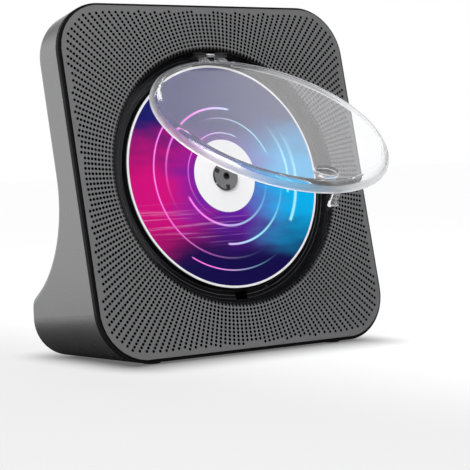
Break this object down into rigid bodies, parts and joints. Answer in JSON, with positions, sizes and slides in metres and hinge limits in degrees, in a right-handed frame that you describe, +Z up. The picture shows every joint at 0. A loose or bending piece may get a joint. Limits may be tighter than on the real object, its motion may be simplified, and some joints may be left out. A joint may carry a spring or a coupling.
{
  "type": "disc player",
  "caption": "Desktop disc player: leaning slab body with a swept foot, perforated front, central disc well and a clear round lid hinged at the top.",
  "frame": {"origin": "on the table, under the middle of the foot, at the underside of the rubber feet", "axes": "+Z up, the front faces -Y, +X to the right as seen from the front"},
  "size_m": [0.182, 0.1513, 0.1852],
  "materials": {
    "shell": "satin anodised gunmetal grey",
    "bezel_plastic": "fine-textured black",
    "grille": "satin dark grey perforated sheet",
    "cloth": "black woven acoustic cloth",
    "deck_plastic": "glossy black",
    "clear_plastic": "clear polished",
    "disc": null,
    "steel": "plated steel",
    "black_steel": "blackened steel",
    "rubber": "matt rubber",
    "pcb": "solder-masked glass-fibre board",
    "chips": "moulded black packages",
    "acetal": "natural acetal",
    "lens": "coated lens",
    "ferrite": "ferrite and plated yoke",
    "cone_paper": "black cone with a rubber roll edge",
    "cell_wrap": "shrink-wrapped steel can",
    "button_metal": "satin gunmetal grey",
    "ribbon": "flat flexible cable"
  },
  "bodies": {
    "cabinet": {"cabinet_shell": "shell", "front_housing": "bezel_plastic", "acoustic_cloth": "cloth", "front_grille": "grille", "disc_well": "deck_plastic", "lid_hinge_pin": "steel", "lid_spring": "steel", "latch_housing": "deck_plastic", "latch_spring": "steel", "lid_switch": "chips", "mechanism_chassis": "steel", "isolation_grommets": "rubber", "mechanism_screws": "steel", "spindle_motor": "steel", "guide_rods": "steel", "sled_motor": "steel", "speaker_frames": "black_steel", "speaker_magnets": "ferrite", "speaker_screws": "black_steel", "main_board": "pcb", "board_components": "chips", "usb_port": "steel", "usb_c_socket": "steel", "audio_jacks": "chips", "power_switch_body": "steel", "rear_port_panel": "bezel_plastic", "battery_cell": "cell_wrap", "battery_holder": "bezel_plastic", "button_board": "pcb", "tact_switches": "chips", "ir_receiver": "chips", "ribbon_cable": "ribbon", "bottom_cover": "bezel_plastic", "cover_screws": "black_steel", "rubber_feet": "rubber", "housing_screws": "black_steel", "m2_screws": "black_steel"},
    "lid": {"lid": "clear_plastic"},
    "disc_turntable": {"turntable": "deck_plastic", "turntable_pad": "rubber", "spindle_hub": "deck_plastic", "chucking_balls": "steel", "compact_disc": "disc"},
    "pickup": {"pickup_body": "black_steel", "objective_lens": "lens"},
    "sled_gear_wheel": {"sled_gear": "acetal"},
    "sled_motor_pinion": {"sled_pinion": "acetal"},
    "latch_catch": {"latch_slider": "acetal"},
    "lid_switch_pin": {"lid_switch_plunger": "acetal"},
    "power_switch_knob": {"power_switch_slider": "chips"},
    "cone_left": {"speaker_cone_left": "cone_paper"},
    "cone_right": {"speaker_cone_right": "cone_paper"},
    "power_button_cap": {"power_button": "button_metal"},
    "previous_button_cap": {"previous_button": "button_metal"},
    "play_button_cap": {"play_button": "button_metal"},
    "next_button_cap": {"next_button": "button_metal"},
    "volume_down_button_cap": {"volume_down_button": "button_metal"},
    "volume_up_button_cap": {"volume_up_button": "button_metal"}
  },
  "joints": [
    {"name": "lid_hinge", "type": "hinge", "parent": "cabinet", "child": "lid", "pos_m": [0, -0.00643, 0.15788], "axis": [1, 0, 0], "range_deg": [0, 45.5], "stiffness_Nm_per_rad": 0.01, "springref_deg": -137.51, "deforming": ["lid_spring"]},
    {"name": "disc_spin", "type": "hinge", "parent": "cabinet", "child": "disc_turntable", "pos_m": [0, -0.01617, 0.09292], "axis": [0, -0.9799, 0.1994], "continuous": true},
    {"name": "pickup_slide", "type": "slide", "parent": "cabinet", "child": "pickup", "axis": [1, 0, 0], "range_m": [0, 0.0335]},
    {"name": "sled_gear_spin", "type": "hinge", "parent": "cabinet", "child": "sled_gear_wheel", "pos_m": [0.047, -0.00175, 0.11468], "axis": [0, -0.9799, 0.1994], "range_deg": [0, 370]},
    {"name": "sled_pinion_spin", "type": "hinge", "parent": "cabinet", "child": "sled_motor_pinion", "pos_m": [0.04275, 0.00149, 0.12154], "axis": [0, -0.9799, 0.1994], "range_deg": [-887, 0]},
    {"name": "latch_slide", "type": "slide", "parent": "cabinet", "child": "latch_catch", "axis": [0, 0.1994, 0.9799], "range_m": [0, 0.0015], "stiffness_N_per_m": 60, "springref_m": -0.0005, "deforming": ["latch_spring"]},
    {"name": "lid_switch_press", "type": "slide", "parent": "cabinet", "child": "lid_switch_pin", "axis": [0, 0.9799, -0.1994], "range_m": [0, 0.001], "stiffness_N_per_m": 80, "springref_m": -0.001},
    {"name": "power_switch_slide", "type": "slide", "parent": "cabinet", "child": "power_switch_knob", "axis": [1, 0, 0], "range_m": [0, 0.003]},
    {"name": "cone_left_travel", "type": "slide", "parent": "cabinet", "child": "cone_left", "axis": [0, -0.9799, 0.1994], "range_m": [-0.001, 0.001], "stiffness_N_per_m": 600},
    {"name": "cone_right_travel", "type": "slide", "parent": "cabinet", "child": "cone_right", "axis": [0, -0.9799, 0.1994], "range_m": [-0.001, 0.001], "stiffness_N_per_m": 600},
    {"name": "power_button_press", "type": "slide", "parent": "cabinet", "child": "power_button_cap", "axis": [0, -0.1994, -0.9799], "range_m": [0, 0.0008], "stiffness_N_per_m": 300, "springref_m": -0.0008},
    {"name": "previous_button_press", "type": "slide", "parent": "cabinet", "child": "previous_button_cap", "axis": [0, -0.1994, -0.9799], "range_m": [0, 0.0008], "stiffness_N_per_m": 300, "springref_m": -0.0008},
    {"name": "play_button_press", "type": "slide", "parent": "cabinet", "child": "play_button_cap", "axis": [0, -0.1994, -0.9799], "range_m": [0, 0.0008], "stiffness_N_per_m": 300, "springref_m": -0.0008},
    {"name": "next_button_press", "type": "slide", "parent": "cabinet", "child": "next_button_cap", "axis": [0, -0.1994, -0.9799], "range_m": [0, 0.0008], "stiffness_N_per_m": 300, "springref_m": -0.0008},
    {"name": "volume_down_button_press", "type": "slide", "parent": "cabinet", "child": "volume_down_button_cap", "axis": [0, -0.1994, -0.9799], "range_m": [0, 0.0008], "stiffness_N_per_m": 300, "springref_m": -0.0008},
    {"name": "volume_up_button_press", "type": "slide", "parent": "cabinet", "child": "volume_up_button_cap", "axis": [0, -0.1994, -0.9799], "range_m": [0, 0.0008], "stiffness_N_per_m": 300, "springref_m": -0.0008}
  ],
  "couplings": [
    {"joint": "sled_gear_spin", "follows": "pickup_slide", "rad_per_m": 192.31},
    {"joint": "sled_pinion_spin", "follows": "pickup_slide", "rad_per_m": -461.54}
  ]
}
